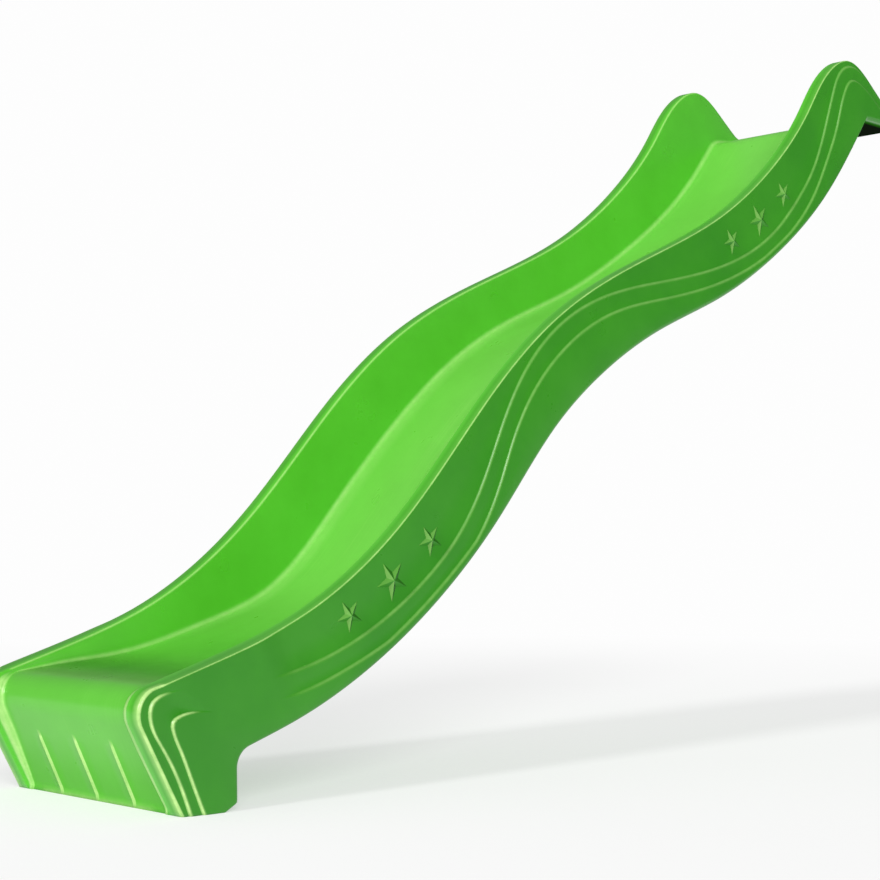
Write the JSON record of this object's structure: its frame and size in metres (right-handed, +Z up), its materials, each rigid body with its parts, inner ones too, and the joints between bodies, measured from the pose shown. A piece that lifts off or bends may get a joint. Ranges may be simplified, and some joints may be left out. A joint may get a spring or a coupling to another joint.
{
  "type": "wave slide",
  "caption": "Wavy hollow plastic chute with side rails, a leaning ribbed toe that rests on the ground, and a flat top lip that is screwed down onto a play tower's deck.",
  "frame": {"origin": "where the middle deck screw leaves the flat underside of the top lip, so z = 0 is the deck's surface", "axes": "+X from the toe up to the deck, +Y across the slide, +Z up"},
  "size_m": [2.2674, 0.5, 1.5849],
  "materials": {
    "slide_plastic": "semi-gloss blow-moulded polyethylene, grass green",
    "zinc_steel": "bright zinc plate",
    "washer_steel": "zinc plate",
    "cap_plastic": "moulded nylon, darker green",
    "plug_plastic": "black moulded polyethylene"
  },
  "bodies": {
    "root": {"slide_body": "slide_plastic", "deck_screw_left": "zinc_steel", "deck_screw_centre": "zinc_steel", "deck_screw_right": "zinc_steel", "deck_washer_left": "washer_steel", "deck_washer_centre": "washer_steel", "deck_washer_right": "washer_steel", "cap_cup_left": "cap_plastic", "cap_cup_centre": "cap_plastic", "cap_cup_right": "cap_plastic", "screw_cap_left": "cap_plastic", "screw_cap_centre": "cap_plastic", "screw_cap_right": "cap_plastic", "vent_plug_left": "plug_plastic", "vent_plug_right": "plug_plastic"}
  },
  "joints": []
}
